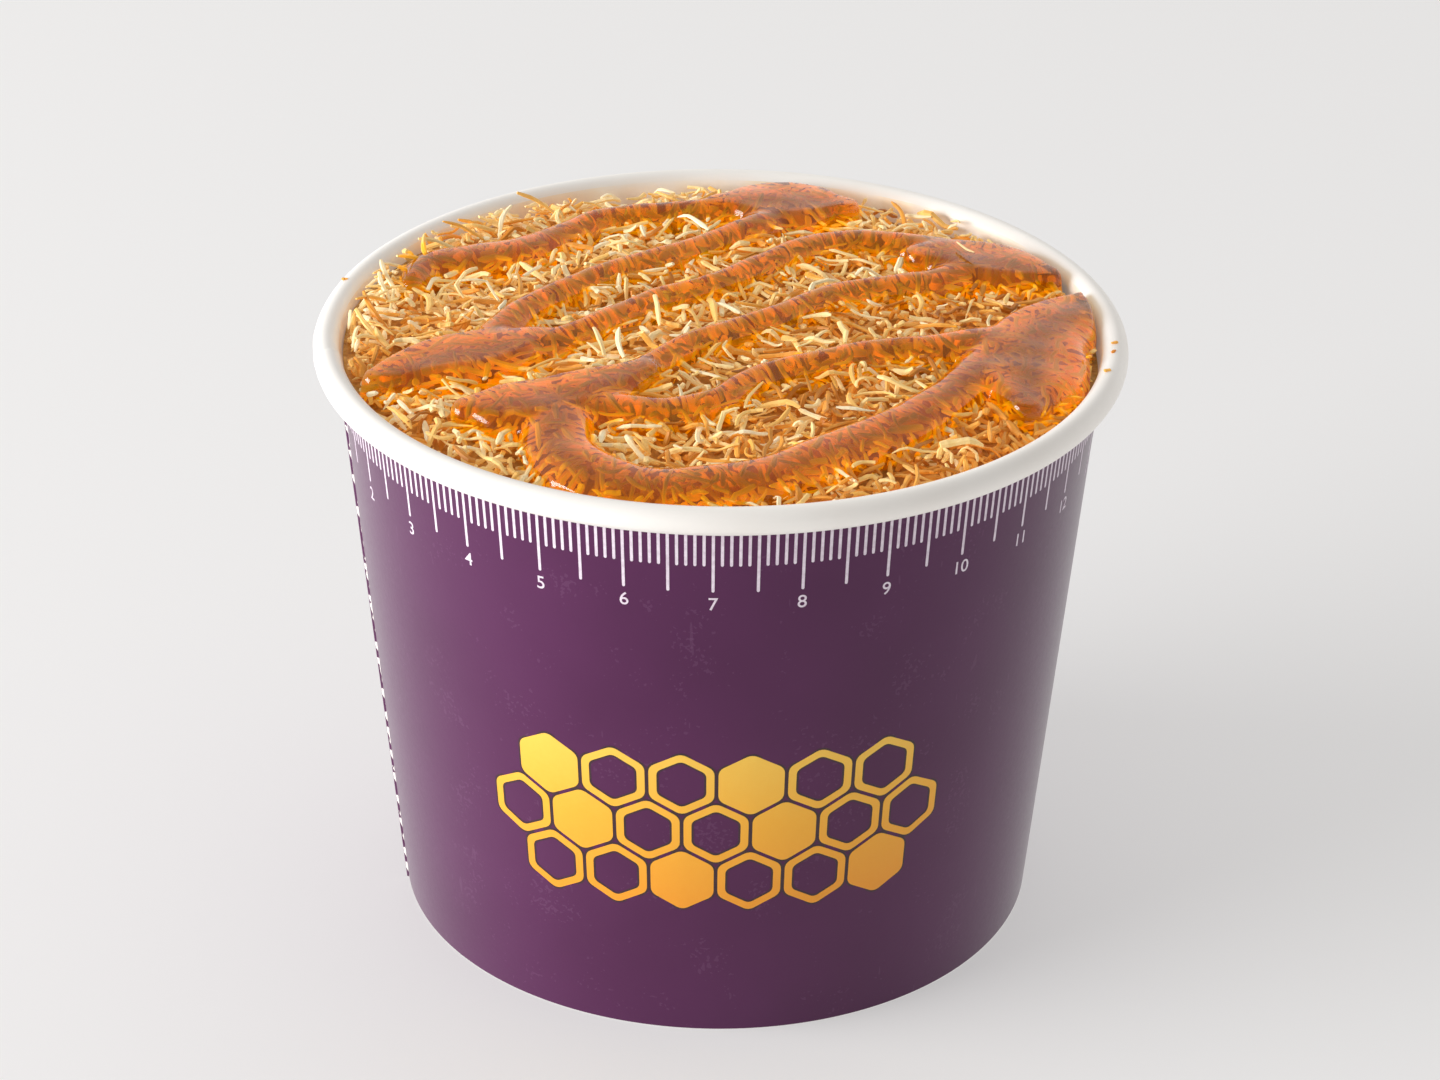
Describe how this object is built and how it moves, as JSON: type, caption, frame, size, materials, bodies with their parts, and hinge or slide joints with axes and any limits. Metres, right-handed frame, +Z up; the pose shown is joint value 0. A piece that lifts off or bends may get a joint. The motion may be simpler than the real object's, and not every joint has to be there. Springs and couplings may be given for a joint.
{
  "type": "honey kunafa in a paper cup",
  "caption": "Shredded kunafa pastry filled to the rim of a round paper cup and drizzled in a thick honey zigzag; stands on its foot as a dessert to serve or eat from.",
  "frame": {"origin": "middle of the cup's foot, on the surface that it stands on", "axes": "+Z up along the cup's axis; -Y towards the viewer of the picture; +X to that viewer's right"},
  "size_m": [0.0964, 0.0964, 0.0768],
  "materials": {
    "printed_paper": "satin printed paperboard with a white rolled rim",
    "bare_paper": "matte white coated paperboard",
    "pastry": null,
    "honey": null
  },
  "bodies": {
    "root": {"cup_wall": "printed_paper", "cup_base": "bare_paper", "kunafa": "pastry"}
  },
  "joints": []
}
